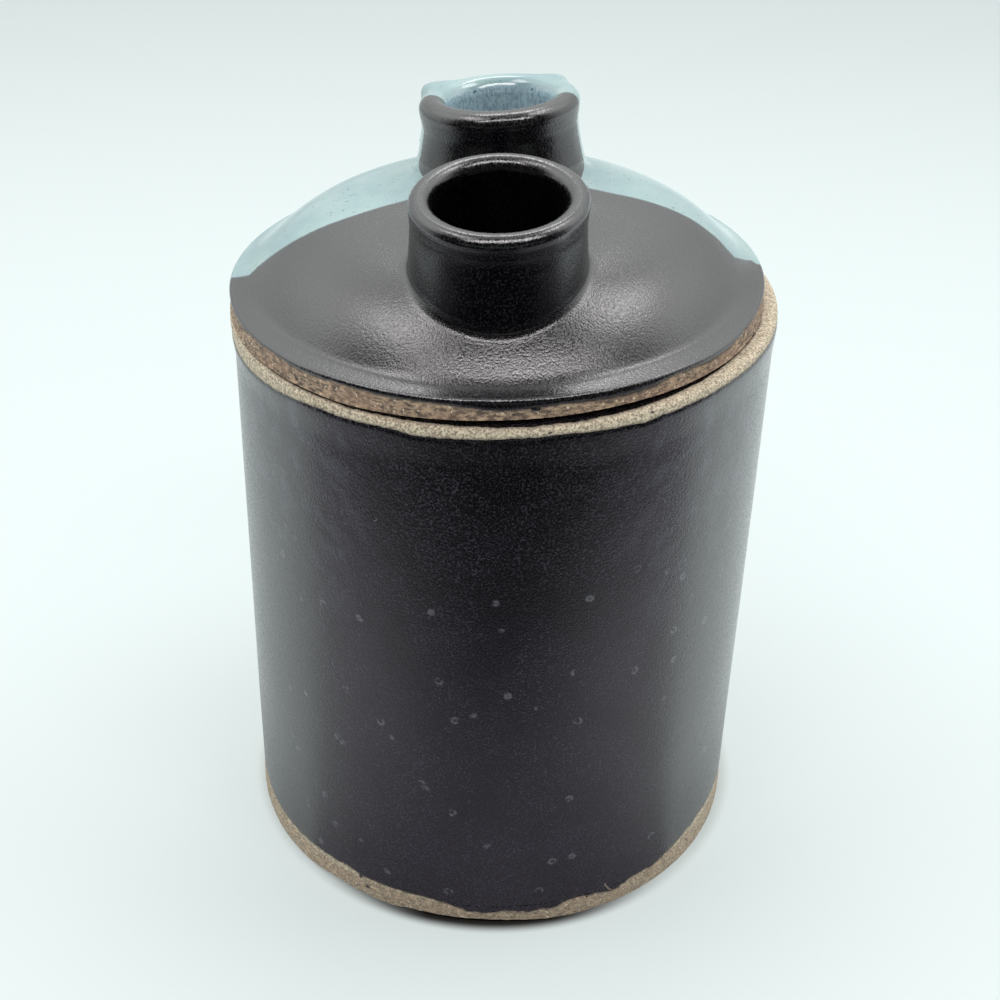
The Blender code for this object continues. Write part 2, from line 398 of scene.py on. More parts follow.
def wall_glaze(points):
    """How far a point lies inside the glaze of the body's outside."""
    angle = angle_of(points)
    height = points[..., 2]
    ragged = raggedness(points, 11, 4.0, 0.6)
    from_rim = round_line(RIM_GLAZE_LINE, angle) - height
    from_foot = height - round_line(FOOT_GLAZE_LINE, angle) + ragged + waves(points, DRIPS)
    glaze = np.minimum(from_rim, from_foot) + ragged
    for mark in FOOT_HOOK:
        glaze = np.minimum(glaze, away_from(points, mark) - HOOK_RADIUS)
    for mark in FOOT_PINHOLES:
        glaze = np.maximum(glaze, PINHOLE_RADIUS - away_from(points, mark))
    return glaze


def dress_body(points, outside):
    """The body's points with glaze and unevenness, and each point's distance inside the glaze.

    outside is 1 on the outer face, and 0 on faces that lie inside or below."""
    glaze = np.where(outside > 0.0, wall_glaze(points), FAR_INSIDE)
    angle = angle_of(points)
    radius = radius_of(points)
    height = points[..., 2]
    wave = waves(points, WALL_WAVE) * smooth(*WALL_WAVE_RADII, radius)
    rough = waves(points, WALL_CLAY) * smooth(*BARE_STEP, glaze)
    left = smooth(*FLARE_TURN, angle)
    climb = smooth(BODY_HEIGHT - FLARE_HEIGHT, BODY_HEIGHT - FLARE_TOP, height)
    flare = (FLARE + FLARE_LEFT * left) * climb * smooth(*FLARE_RADII, radius)
    out = (coat(glaze) - GLAZE_THICKNESS + wave + rough + flare) * outside
    moved = drawn(points, (radius + out) / np.maximum(radius, TINY))
    rise = round_line(RIM_TOP_LINE, angle) - BODY_HEIGHT
    moved[..., 2] += rise * smooth(BODY_HEIGHT - RIM_LINE_START, BODY_HEIGHT - RIM_LINE_FULL, height)
    return moved, glaze


def body_outline():
    """The wall's closed outline, from the rim's inner corner over the rim and down the outside.

    Also gives the first point after the rim's flat top, and the one where the outside ends."""
    top = BODY_HEIGHT
    crest = BODY_RADIUS - RIM_SLOPE
    outline = straight((WALL_INNER + RIM_CHAMFER, top), (crest, top), 2 * FINE_STEP)
    rim_top = len(outline)
    rounding = (RIM_SLOPE, RIM_DROP)
    outline += bend((crest, top - RIM_DROP), rounding, 90, 0, RIM_POINTS)[:-1]
    marks = (top - RIM_DROP, top - FLARE_HEIGHT, FOOT_FINE, FOOT_SEAM)
    for start, end, step in zip(marks, marks[1:], (FINE_STEP, COARSE_STEP, FINE_STEP)):
        outline += straight((BODY_RADIUS, start), (BODY_RADIUS, end), step)
    outer = len(outline)
    outline += [(BODY_RADIUS, FOOT_SEAM)]
    inner_top = (WALL_INNER, top - RIM_CHAMFER)
    outline += straight((WALL_INNER, FOOT_SEAM), inner_top, 4 * COARSE_STEP)
    return outline + [inner_top], rim_top, outer


def make_body_wall():
    """The wall, with its bare rim, black on top under the lid's edge as painted shade, and its glaze down to
    the foot's line.
    """
    outline, rim_top, outer = body_outline()
    points = turned_points(outline, COLUMNS)
    outside = np.zeros(points.shape[:2])
    outside[:outer + 1] = 1.0
    moved, glaze = dress_body(points, outside)
    # Black glaze laid on the rim's bare top to just past the lid's edge: painted shade of the gap under the
    # lid
    below_lid = points - (LID_SHIFT_X - LEAN * (BODY_HEIGHT - LEAN_CENTRE), 0.0, 0.0)
    reach = LID_RADIUS + round_line(RIM_PAINTED_SHADE_LINE, angle_of(points)) - radius_of(below_lid)
    dark = np.minimum(reach, RIM_PAINTED_SHADE_MOST - radius_of(points))
    dark = dark + RIM_RAGGEDNESS * raggedness(points, 13, 3.0, 1.0)
    glaze = np.where(points[..., 2] > BODY_HEIGHT - RIM_DROP, np.maximum(glaze, dark), glaze)
    moved[:rim_top, :, 2] += waves(points[:rim_top], RIM_CLAY)
    glaze[outer + 2:] = FAR_INSIDE
    glaze[-1] = 0.0
    obj = grid_object("canister_wall", lean(moved), True)
    set_values(obj, glaze=glaze, blue=-FAR_INSIDE, brown=0.0)
    return obj


def foot_outline():
    """The floor disc's outline from the axis over its top, side and underside back to the axis.

    Also gives the points where the outside starts and ends."""
    edge = BODY_RADIUS + FOOT_STEP
    outline = straight((FOOT_POLE, FLOOR_TOP), (WALL_INNER, FLOOR_TOP), 3 * COARSE_STEP)
    outline += straight((WALL_INNER, FLOOR_TOP), (WALL_INNER, FOOT_SEAM), COARSE_STEP)
    inner = len(outline)
    outline += straight((BODY_RADIUS, FOOT_SEAM), (edge, FOOT_SEAM - FOOT_BEVEL), FINE_STEP)
    outline += straight((edge, FOOT_SEAM - FOOT_BEVEL), (edge, 0.0), FINE_STEP)
    side = len(outline)
    outline += straight((edge, 0.0), (edge - FOOT_RIM, 0.0), 2 * FINE_STEP)
    outline += straight((edge - FOOT_RIM, 0.0), (FOOT_POLE, 0.0), 3 * COARSE_STEP)
    return outline + [(FOOT_POLE, 0.0)], inner, side


def make_foot():
    """The floor disc, whose edge is the bare foot, a little undercut in front on the left."""
    outline, inner, side = foot_outline()
    points = turned_points(outline, COLUMNS)
    outside = np.zeros(points.shape[:2])
    outside[inner:side + 1] = 1.0
    moved, glaze = dress_body(points, outside)
    angle = angle_of(points)
    undercut = round_line(UNDERCUT_LINE, angle) + waves(points, UNDERCUT_WAVE)
    below = smooth(undercut, 0.0, points[..., 2]) * outside
    radius = radius_of(moved)
    rim_start = BODY_RADIUS + FOOT_STEP - FOOT_RIM
    below[side + 1:] = np.clip((radius - rim_start) / FOOT_RIM, 0.0, 1.0)[side + 1:]
    moved = drawn(moved, 1.0 - below * (undercut * UNDERCUT_PULL) / np.maximum(radius, TINY))
    glaze[side:] = -FAR_INSIDE
    glaze[:inner] = FAR_INSIDE
    # Browner clay at the front of the foot: painted shade of its undercut and its contact with the table
    brown = FOOT_BROWN + FOOT_PAINTED_SHADE_FRONT * smooth(*FOOT_PAINTED_SHADE_TURN, np.abs(angle))
    obj = grid_object("foot_disc", lean(moved), False)
    set_values(obj, glaze=np.append(glaze, [FAR_INSIDE, -FAR_INSIDE]), blue=-FAR_INSIDE,
               brown=np.append(brown, [HIDDEN_BROWN, HIDDEN_BROWN]))
    return obj


# The lid


def dome_height(x, y):
    """Height of the lid's top at a place on it, x counted from the lid's own axis."""
    radius = np.hypot(x, y)
    angle = np.degrees(np.arctan2(x, -y))
    turn = np.abs(angle)
    crease = CREASE_RADIUS + CREASE_FRONT * np.exp(-(angle / CREASE_FRONT_WIDTH) ** 2)
    dome = CREASE_TOP + (DOME_TOP - CREASE_TOP) * (1.0 - (radius / crease) ** DOME_POWER)
    inwards = np.clip((crease - radius) / SAG_LENGTH, 0.0, 1.0)
    sag = SAG * SAG_LENGTH * (inwards - 0.5 * inwards ** 2)
    dome = dome - sag * np.exp(-(angle / SAG_WIDTH) ** 2)
    slope = BRIM_SLOPE_FRONT + (BRIM_SLOPE - BRIM_SLOPE_FRONT) * smooth(*BRIM_SLOPE_TURN, turn)
    brim = CREASE_TOP - (radius - CREASE_RADIUS) * slope
    join = CREASE_JOIN
    for wider, turns in CREASE_JOINS:
        join = join + (wider - CREASE_JOIN) * smooth(*turns, turn)
    top = 0.5 * (dome + brim + np.sqrt((dome - brim) ** 2 + join ** 2))
    for spout in (FRONT, REAR):
        away = np.maximum(np.hypot(x - spout.x, y - spout.y) - spout.foot_radius, 0.0)
        top = top + spout.collar * np.exp(-away / COLLAR_WIDTH) * smooth(*COLLAR_RADII, radius)
    return top


def dip_distance(x, y):
    """How far behind the edge of the blue glaze a place on the lid lies."""
    places, edges = np.transpose(DIP_LINE) * MM
    return y - np.interp(x, places, edges)


def underside_height(angle, radius):
    """Height of the lid's underside round the seat, just above the rim."""
    gap = round_line(LID_GAP_LINE, angle) * smooth(SEAT_GAP_RADIUS, LID_RADIUS, radius)
    return round_line(RIM_TOP_LINE, angle) + SEAT_GAP + gap


def lid_outline():
    """The lid's outline from the axis over the top, the edge and the underside back to the axis.

    Heights are filled in later. Also gives the points where the top, edge and seat end."""
    r = LID_ROUNDING
    dome_step, brim_step, seat_step, inner_step = LID_STEPS
    crease = CREASE_RADIUS - LID_FINE
    outline = straight((LID_POLE, 0.0), (crease, 0.0), dome_step)
    outline += straight((crease, 0.0), (LID_RADIUS - r, 0.0), brim_step)
    top = len(outline)
    outline += bend((LID_RADIUS - r, -r), (r, r), 90, 0, ROUNDING_POINTS)
    outline += straight((LID_RADIUS, -r - FINE_STEP), (LID_RADIUS, -LID_EDGE_HEIGHT), FINE_STEP)
    edge = len(outline)
    outline += straight((LID_RADIUS, 0.0), (LID_RADIUS - LID_CHAMFER, 0.0), FINE_STEP)
    outline += straight((LID_RADIUS - LID_CHAMFER, 0.0), (HOLLOW_RADIUS, 0.0), seat_step)
    seat = len(outline)
    outline += straight((HOLLOW_RADIUS, 0.0), (LID_POLE, 0.0), inner_step)
    return outline + [(LID_POLE, 0.0)], top, edge, seat


def lid_points():
    """The lid's points, before its glaze, with x counted from the lid's own axis."""
    outline, top, edge, seat = lid_outline()
    points = turned_points(outline, COLUMNS)
    radius = radius_of(points)
    angle = angle_of(points)
    height = points[..., 2]
    over = dome_height(points[..., 0], points[..., 1])
    under = underside_height(angle, radius)
    band = top + ROUNDING_POINTS
    height[:top] = over[:top]
    height[top:band] += over[top]
    share = np.linspace(0.0, 1.0, edge - band + 1)[1:, None]
    corner = under[edge - 1] + LID_CHAMFER
    height[band:edge] = (over[top] - LID_ROUNDING) * (1.0 - share) + corner * share
    chamfer = np.clip((LID_RADIUS - radius[edge:seat]) / LID_CHAMFER, 0.0, 1.0)
    height[edge:seat] = under[edge:seat] + LID_CHAMFER * (1.0 - chamfer)
    inner = np.minimum(radius[seat:] / HOLLOW_RADIUS, 1.0)
    foot = under[seat:].mean() + (under[seat:] - under[seat:].mean()) * inner ** 2
    height[seat:] = foot + (HOLLOW_TOP - LID_UNDERSIDE) * (1.0 - inner ** DOME_POWER)
    return points


def spout_ring(placing):
    """Degrees round a spout, and the direction outwards at each."""
    angle = np.linspace(-math.pi, math.pi, SPOUT_COLUMNS, endpoint=False)
    ring = np.sin(angle)[:, None] * placing.across - np.cos(angle)[:, None] * placing.ahead
    return np.degrees(angle), ring


def bore_cutter(name, spout, placing):
    """A round cutter along a spout's axis, right through the lid."""
    ring = spout_ring(placing)[1] * (spout.radius - spout.wall)
    rows = [placing.centre + ring + placing.axis * height for height in CUTTER_ENDS]
    return grid_object(name, np.array(rows), False)


def make_lid(spouts):
    """The slab with its dome, brim and cut edge, and the two holes below the spouts."""
    obj = grid_object("lid_dome", lid_points(), False)
    cutters = [bore_cutter(name, *pair) for name, pair in zip(("front_cut", "rear_cut"), spouts)]
    for cutter in cutters:
        modifier = obj.modifiers.new(cutter.name, 'BOOLEAN')
        modifier.operation = 'DIFFERENCE'
        modifier.solver = 'MANIFOLD'
        modifier.object = cutter
    cut_mesh = bpy.data.meshes.new_from_object(obj.evaluated_get(bpy.context.evaluated_depsgraph_get()))
    cut_mesh.set_sharp_from_angle(angle=math.radians(SHARP_ANGLE))
    cut_mesh.materials.clear()
    obj.modifiers.clear()
    obj.data = cut_mesh
    for cutter in cutters:
        bpy.data.objects.remove(cutter, do_unlink=True)
    dress_lid(obj)
    return obj


def dress_lid(obj):
    """Glaze, clay grain and lean on the lid, from where each of its points lies."""
    places = np.zeros(len(obj.data.vertices) * 3)
    obj.data.vertices.foreach_get("co", places)
    places = places.reshape(-1, 3)
    x, y, z = places.T
    radius = radius_of(places)
    angle = angle_of(places)
    ragged = raggedness(places, 41, 3.0, 0.8)
    is_top = z > dome_height(x, y) - NEAR_TOP
    is_edge = (radius > LID_RADIUS - NEAR_EDGE) & (z > underside_height(angle, radius) + NEAR_TOP)
    glaze = np.where(is_edge | is_top, z - round_line(LID_GLAZE_LINE, angle) + ragged, -FAR_INSIDE)
    pit = BAND_PIT_SIZE[1] * (1.0 - away_from(places, BAND_PIT, BAND_PIT_SIZE))
    glaze = np.where(is_edge, np.maximum(glaze, pit), glaze)
    glaze = np.where(radius < HOLLOW_RADIUS + NEAR_DOME, FAR_INSIDE, glaze)
    clay = waves(places * CUT_STRETCH, CUT_CLAY)
    out = np.where(is_edge, coat(glaze) - GLAZE_THICKNESS + clay * (glaze < 0.0), 0.0)
    moved = drawn(places, 1.0 + out / np.maximum(radius, TINY))
    moved[:, 0] += LID_SHIFT_X
    set_values(obj, glaze=glaze, blue=dip_distance(x, y), brown=1.0)
    obj.data.vertices.foreach_set("co", lean(moved, LID_LEAN_CENTRE, LID_TILT).ravel())
    obj.data.update()


def make_ring():
    """The locating ring under the lid."""
    inner, outer, low, high, c = RING
    across, upwards = RING_STEPS
    outline = straight((inner, high), (outer, high), across)
    outline += straight((outer, high), (outer, low + c), upwards)
    outline += bend((outer - c, low + c), (c, c), 0, -90, RING_POINTS)
    outline += straight((outer - 2 * c, low), (inner + c, low), across)
    outline += bend((inner + c, low + c), (c, c), -90, -180, RING_POINTS)
    outline += straight((inner, low + 2 * c), (inner, high), upwards)
    points = turned_points(outline, COLUMNS // 2)
    shift = (LID_SHIFT_X, 0.0, 0.0)
    moved = drawn(points, 1.0 + waves(points + shift, *RING_WAVES) / radius_of(points)) + shift
    obj = grid_object("locating_lip", lean(moved), True)
    set_values(obj, glaze=-FAR_INSIDE, blue=-FAR_INSIDE, brown=HIDDEN_BROWN)
    return obj


# The spouts


def place_spout(spout):
    """A spout's foot point on the CAD's dome and its three directions, on the lid's own axis."""
    radius, start, top, power = CAD_DOME
    height = start + (top - start) * (1.0 - (math.hypot(spout.x, spout.y) / radius) ** power)
    turn = Matrix.Rotation(math.radians(spout.lean_side), 3, 'Y')
    turn = turn @ Matrix.Rotation(math.radians(spout.lean_front), 3, 'X')
    ways = [np.array(turn @ Vector(way)) for way in ((1, 0, 0), (0, 1, 0), (0, 0, 1))]
    return Placing(np.array([spout.x, spout.y, height]), *ways)


def inner_lip(spout):
    """Outline points from the bore up to the crest of the lip; a power below 2 slants them."""
    turn = np.linspace(0.0, 0.5 * math.pi, LIP_POINTS[0])
    inwards = np.cos(turn) ** (2.0 / spout.lip_power)
    upwards = np.sin(turn) ** (2.0 / spout.lip_power)
    width = spout.crest - (spout.radius - spout.wall)
    bottom = spout.height - spout.lip_in
    return [(spout.crest - width * i, bottom + spout.lip_in * u) for i, u in zip(inwards, upwards)]


def spout_profile(spout):
    """Outline of a spout from the foot of its bore up over the lip and down to the neck.

    Each point is (radius, height above the foot point)."""
    bore = spout.radius - spout.wall
    out_centre = spout.height - spout.lip_out
    outline = straight((bore, -BORE_DEPTH), (bore, spout.height - spout.lip_in), BORE_STEP)
    outline += inner_lip(spout)[:-1]
    outer_lip = (spout.radius - spout.crest, spout.lip_out)
    outline += bend((spout.crest, out_centre), outer_lip, 90, 0, LIP_POINTS[1])
    neck = (spout.radius - NECK_TAPER, out_centre - NECK_DEPTH)
    outline += straight((spout.radius, out_centre), neck, NECK_STEP)[1:]
    return outline, neck


def dome_crossing(placing, ring, radius):
    """Height above the foot point at which the lid's top crosses a spout's radius, at each column."""
    height = np.zeros(len(ring))
    for _ in range(CROSSING_ROUNDS):
        place = placing.centre + ring * radius[:, None] + placing.axis * height[:, None]
        height += dome_height(place[:, 0], place[:, 1]) - place[:, 2]
    return height


def spout_rows(spout, placing, angle, ring):
    """A spout's radius and height in rows, from its bore to the fillet that runs out on the dome.

    Also gives the first row below the lip's outline, and the first one of the fillet."""
    outline, neck = spout_profile(spout)
    rows = [(np.full(SPOUT_COLUMNS, r), np.full(SPOUT_COLUMNS, h)) for r, h in outline]
    wall = spout.foot_radius + spout.foot_swell * np.exp(-(angle / FOOT_SWELL_WIDTH) ** 2)
    base = dome_crossing(placing, ring, wall) + spout.fillet
    for share in steps(0.0, 1.0, WALL_STEP):
        rows.append((neck[0] + (wall - neck[0]) * share ** WALL_POWER,
                     neck[1] + (base - neck[1]) * share))
    fillet_row = len(rows)
    course = [(spout.fillet * (1.0 - math.cos(turn)), spout.fillet * (1.0 - math.sin(turn)) + FILLET_LIFT)
              for turn in np.linspace(0.0, 0.5 * math.pi, FILLET_POINTS)]
    course += [(spout.fillet + further, lift) for further, lift in RUN_OUT]
    course.append((-0.5 * spout.wall, -BORE_DEPTH))
    for out, lift in course:
        rows.append((wall + out, dome_crossing(placing, ring, wall + out) + lift))
    return np.array(rows), len(outline), fillet_row


def make_spout(name, spout, placing, blue_of=None):
    """A spout: bore, round lip, wall and a fillet that runs out on the dome."""
    angle, ring = spout_ring(placing)
    rows, lip_end, fillet_row = spout_rows(spout, placing, angle, ring)
    radius = rows[:, 0]
    height = rows[:, 1]
    row = np.arange(len(rows))
    points = placing.centre + ring * radius[..., None] + placing.axis * height[..., None]
    loose = np.clip(1.0 - (row - fillet_row) / LOOSE_ROWS, 0.0, 1.0)[:, None]
    swell_from, swell_full = (spout.radius - share * spout.wall for share in CORNER_SHARES)
    corners = sum(size * np.exp(-((angle - place) / width) ** 2) for place, size, width in spout.corners)
    swell = corners * np.sqrt(smooth(swell_from, swell_full, radius)) * loose
    lines = np.random.default_rng(LINES_SEED).uniform(-1.0, 1.0, len(rows))[:, None]
    wave = waves(points, *SPOUT_WAVES) + SPOUT_LINES * lines
    points += ring * (swell + wave * loose)[..., None]
    blue = blue_of(points) if blue_of else -FAR_INSIDE
    points[..., 0] += LID_SHIFT_X
    obj = grid_object(name, lean(points, LID_LEAN_CENTRE, LID_TILT), True)
    # Inside the bores the glaze gets painted light and shade: paler in the blue, darker in the black
    deep_from, deep_full = (spout.radius - share * spout.wall for share in BORE_LIGHT_AND_SHADE_SHARES)
    set_values(obj, deep=smooth(deep_from, deep_full, radius), lip=height > spout.height - LIP_DEPTH,
               glaze=FAR_INSIDE, blue=blue, brown=0.0)
    # The wall below the lip takes the less glossy copy of the glaze: painted shade
    on_shaded_wall = (row >= lip_end - LIP_ROWS) & (row < fillet_row - 1)
    obj.data.polygons.foreach_set("material_index", np.repeat(on_shaded_wall.astype(np.int32), SPOUT_COLUMNS))
    return obj


def rear_blue(points):
    """How far a place on the rear spout lies behind the edge of its blue glaze."""
    x = points[..., 0]
    edge = REAR_BLUE_FOOT[0] + REAR_BLUE_FOOT[1] * x
    for heights, place, slope in REAR_BLUE_STEPS:
        edge = edge + (place + slope * x) * smooth(*heights, points[..., 2])
    return points[..., 1] - edge - waves(points, REAR_BLUE_WAVE)


# The stoneware. A pair is a ramp's limits, which may come with its values there


Noise = namedtuple("Noise", "size detail roughness limits colour share height",
                   defaults=(0.5, (0.0, 1.0), None, 1.0, 0.0))

# Bare clay
GROG = Noise(0.00055, 3.0, 0.7, (0.36, 0.64), ((0.27, 0.205, 0.135), (0.82, 0.70, 0.52)), height=0.00022)
DRAG = Noise(0.0007, 4.0, 0.7, (0.36, 0.66), ((0.085, 0.054, 0.036), (0.55, 0.375, 0.24)), height=0.00012)
RED = Noise(0.004, 2.0, 0.5, (0.48, 0.66), (0.36, 0.20, 0.13), 0.35)
PALE_FLECK = Noise(0.0007, 1.0, 0.5, (0.66, 0.74), (0.80, 0.68, 0.50))
PIT = Noise(0.0013, 1.0, 0.5, (0.25, 0.22), (0.06, 0.04, 0.03), height=-0.0003)
SCRAPED_STRETCH = (0.45, 0.45, 1.0)
PIT_STRETCH = (0.6, 0.6, 1.0)
MARGIN = (-0.0007, 0.0)
MARGIN_SHARE = 0.65
MARGIN_COLOUR = (0.10, 0.07, 0.05)
CLAY_ROUGH = 0.85

# Black glaze
BLACK = (0.0, 0.0, 0.0)
MOTTLE = Noise(0.014, 3.0, 0.5, (0.35, 0.65), ((0.0008, 0.0005, 0.0018), (0.0036, 0.0029, 0.0052)))
SPECKLE = Noise(0.0005, 2.0, 0.5, (0.54, 0.64), (0.034, 0.030, 0.046))
SPECKLE_ROUGH = ((0.35, 0.65), 0.13, 0.32)
SPECKLE_HEIGHT = ((0.0, 1.0), 0.00008, 0.00003)
LID_HEIGHTS = (0.146, 0.152)
LID_BLACK_SHARE = 0.6
DUST_BY_MOTTLE = ((0.3, 0.6), 0.35, 1.0)
# Fewer pale specks inside the bores: painted shade
DUST_BY_BORE_SHADE = ((0.0, 0.6), 1.0, 0.0)
DUST_BY_HEIGHT = (LID_HEIGHTS, 1.0, 0.35)
CLOUD = Noise(0.0040, 3.0, 0.6, (0.44, 0.70), (0.060, 0.065, 0.085), 0.55)
CLOUD_TURN = (0.0, 0.8, 0.0)
CLOUD_STRETCH = (1.0, 1.0, 3.5)
CLOUD_ASIDE = (0.018, 0.046)
CLOUD_HEIGHTS = ((0.070, 0.125), (0.150, 0.146))
MARKS = Noise(0.0016, 2.0, 0.5, (0.38, 0.56), (0.15, 0.15, 0.17), 0.6, 0.00003)
MARK_SPACING = 0.0085
MARK_RADII = (0.0007, 0.0009)
MARK_WIDTH = 0.00045
MARK_HEIGHTS = (0.112, 0.100)
WOBBLE = Noise(0.0012, 1.0)
WOBBLE_REACH = (0.0005, 0.0005, 0.0005)
HOLE_SPACING = 0.013
HOLE_LIMITS = (0.035, 0.02)
HOLE_HEIGHT = -0.0002
BLACK_WAVE = Noise(0.0030, 2.0, height=0.00003)

# Blue glaze
BLUE_CLOUD = Noise(0.016, 4.0, 0.6, (0.3, 0.7), ((0.225, 0.36, 0.385), (0.32, 0.46, 0.455)))
STREAK = Noise(0.0006, 4.0, 0.65, (0.40, 0.62), (0.10, 0.15, 0.21), 0.45)
STREAK_STRETCH = (1.0, 1.0, 0.4)
BLUE_FLECK = Noise(0.0009, 1.0, 0.5, (0.70, 0.75), (0.09, 0.13, 0.15))
BLUE_WAVE = Noise(0.0045, 2.0, height=0.00006)
# A paler blue inside the rear spout's bore: painted light
BORE_PAINTED_LIGHT_BLUE = (0.52, 0.70, 0.80)
BORE_PAINTED_LIGHT_SHARE = 0.7
BLUE_ROUGH = 0.14

# Edges of the glazes, and their gloss
WANDER = Noise(0.0008, 2.0)
WANDER_REACH = 0.0003
BLUE_EDGE = (-0.00006, 0.00006)
GLAZE_EDGE = (-0.00005, 0.00005)
LINE_LIMITS = ((-0.00035, -0.00005), (0.00055, 0.00010))
LINE_SHARE = 0.8
LINE_COLOUR = (0.055, 0.085, 0.095)
GLAZE_IOR = 1.95
# The spouts' walls below the lip get a copy of the glaze with less gloss, darker: painted shade
SHADED_WALL_IOR = {"front_spout": 1.55, "rear_spout": 1.75}
GLAZE_TINT = (1.0, 0.96, 0.975, 1.0)

# Where a mix node keeps its colours
MIX_FIRST = 6
MIX_SECOND = 7
MIX_RESULT = 2


def is_socket(value):
    """Whether a value comes from a node."""
    return isinstance(value, bpy.types.NodeSocket)


def node(near, kind, values=None, **settings):
    """A new node in the tree of a socket, with settings and inputs."""
    tree = near.id_data
    made = tree.nodes.new(kind)
    for name, value in settings.items():
        setattr(made, name, value)
    for name, value in (values or {}).items():
        if is_socket(value):
            tree.links.new(value, made.inputs[name])
        else:
            made.inputs[name].default_value = value
    return made


def math_of(operation, first, second=0.0, third=0.0):
    """The result of one sum."""
    return node(first, 'ShaderNodeMath', {0: first, 1: second, 2: third}, operation=operation).outputs[0]


def product(first, *others):
    """Values multiplied together."""
    for other in others:
        first = math_of('MULTIPLY', first, other)
    return first


def relief(first, *others):
    """The sum of (value, height in metres) pairs, each value times its height."""
    total = product(*first)
    for value, height in others:
        total = math_of('MULTIPLY_ADD', value, height, total)
    return total


def ramp(value, limits, bottom=0.0, top=1.0):
    """A value carried from between two limits to another range, with an even step."""
    made = node(value, 'ShaderNodeMapRange', {"Value": value, "From Min": limits[0],
                "From Max": limits[1], "To Min": bottom, "To Max": top}, interpolation_type='SMOOTHSTEP')
    return made.outputs["Result"]


def noise_of(place, noise, output="Fac"):
    """Noise with bumps of about one size."""
    made = node(place, 'ShaderNodeTexNoise', {"Vector": place, "Scale": 1.0 / noise.size,
                "Detail": noise.detail, "Roughness": noise.roughness})
    return made.outputs[output]


def noise_share(place, noise):
    """Noise carried from its limits to 0 and 1."""
    return ramp(noise_of(place, noise), noise.limits)


def cell_distance(place, spacing):
    """Distance from the nearest of scattered points, in units of their spacing."""
    return node(place, 'ShaderNodeTexVoronoi', {"Vector": place, "Scale": 1.0 / spacing}).outputs["Distance"]


def mixed(share, first, second):
    """A colour between two others."""
    ends = [colour if is_socket(colour) else (*colour, 1.0) for colour in (first, second)]
    return node(share, 'ShaderNodeMix', {"Factor": share, MIX_FIRST: ends[0], MIX_SECOND: ends[1]},
                data_type='RGBA').outputs[MIX_RESULT]


def painted(colour, *coats):
    """A colour with (share, colour) pairs laid over it in turn."""
    for share, coat_colour in coats:
        colour = mixed(share, colour, coat_colour)
    return colour


def blended(share, first, second):
    """A number between two others."""
    return node(share, 'ShaderNodeMix', {"Factor": share, "A": first, "B": second},
                data_type='FLOAT').outputs["Result"]


def attribute(near, name):
    """A number that the mesh holds at each vertex."""
    return node(near, 'ShaderNodeAttribute', attribute_name=name).outputs["Fac"]


def object_place(tree):
    """A place in the object's own metres."""
    return node(tree, 'ShaderNodeTexCoord').outputs["Object"]


def parts_of(place):
    """The X, Y and Z of a place."""
    return list(node(place, 'ShaderNodeSeparateXYZ', {"Vector": place}).outputs)


def stretched(place, scale):
    """Places scaled along the axes."""
    return node(place, 'ShaderNodeMapping', {"Vector": place, "Scale": scale}).outputs["Vector"]


def clay_finish(place, glaze):
    """Colour and height of the bare clay: tan with grog, browner and scraped on the lid's cut edge."""
    grog = noise_of(place, GROG)
    tan = mixed(ramp(grog, GROG.limits), *GROG.colour)
    scraped = stretched(place, SCRAPED_STRETCH)
    drag = noise_of(scraped, DRAG)
    cut = mixed(ramp(drag, DRAG.limits), *DRAG.colour)
    cut = mixed(product(noise_share(scraped, RED), RED.share), cut, RED.colour)
    pit = noise_share(stretched(place, PIT_STRETCH), PIT)
    colour = painted(tan, (attribute(place, "brown"), cut),
                     (noise_share(place, PALE_FLECK), PALE_FLECK.colour), (pit, PIT.colour),
                     (product(ramp(glaze, MARGIN), MARGIN_SHARE), MARGIN_COLOUR))
    return colour, relief((grog, GROG.height), (drag, DRAG.height), (pit, PIT.height))


def ring_marks(place):
    """Thin rings about two millimetres across, scattered over the surface."""
    moved = node(place, 'ShaderNodeVectorMath', {0: noise_of(place, WOBBLE, "Color"), 1: WOBBLE_REACH,
                 2: place}, operation='MULTIPLY_ADD').outputs["Vector"]
    away = product(cell_distance(moved, MARK_SPACING), MARK_SPACING)
    inner, outer = MARK_RADII
    return product(ramp(away, (outer + MARK_WIDTH, outer)), ramp(away, (inner - MARK_WIDTH, inner)))


def side_cloud(place):
    """Where the black glaze is bluish: slanted streaks high on both sides of the wall."""
    x, y, z = parts_of(place)
    aside = math_of('ABSOLUTE', x)
    mirrored = node(place, 'ShaderNodeCombineXYZ', {"X": aside, "Y": y, "Z": z}).outputs["Vector"]
    slanted = node(place, 'ShaderNodeMapping', {"Vector": mirrored, "Rotation": CLOUD_TURN,
                   "Scale": CLOUD_STRETCH}, vector_type='TEXTURE').outputs["Vector"]
    high = product(*(ramp(z, limits) for limits in CLOUD_HEIGHTS))
    return product(noise_share(slanted, CLOUD), product(ramp(aside, CLOUD_ASIDE), high))


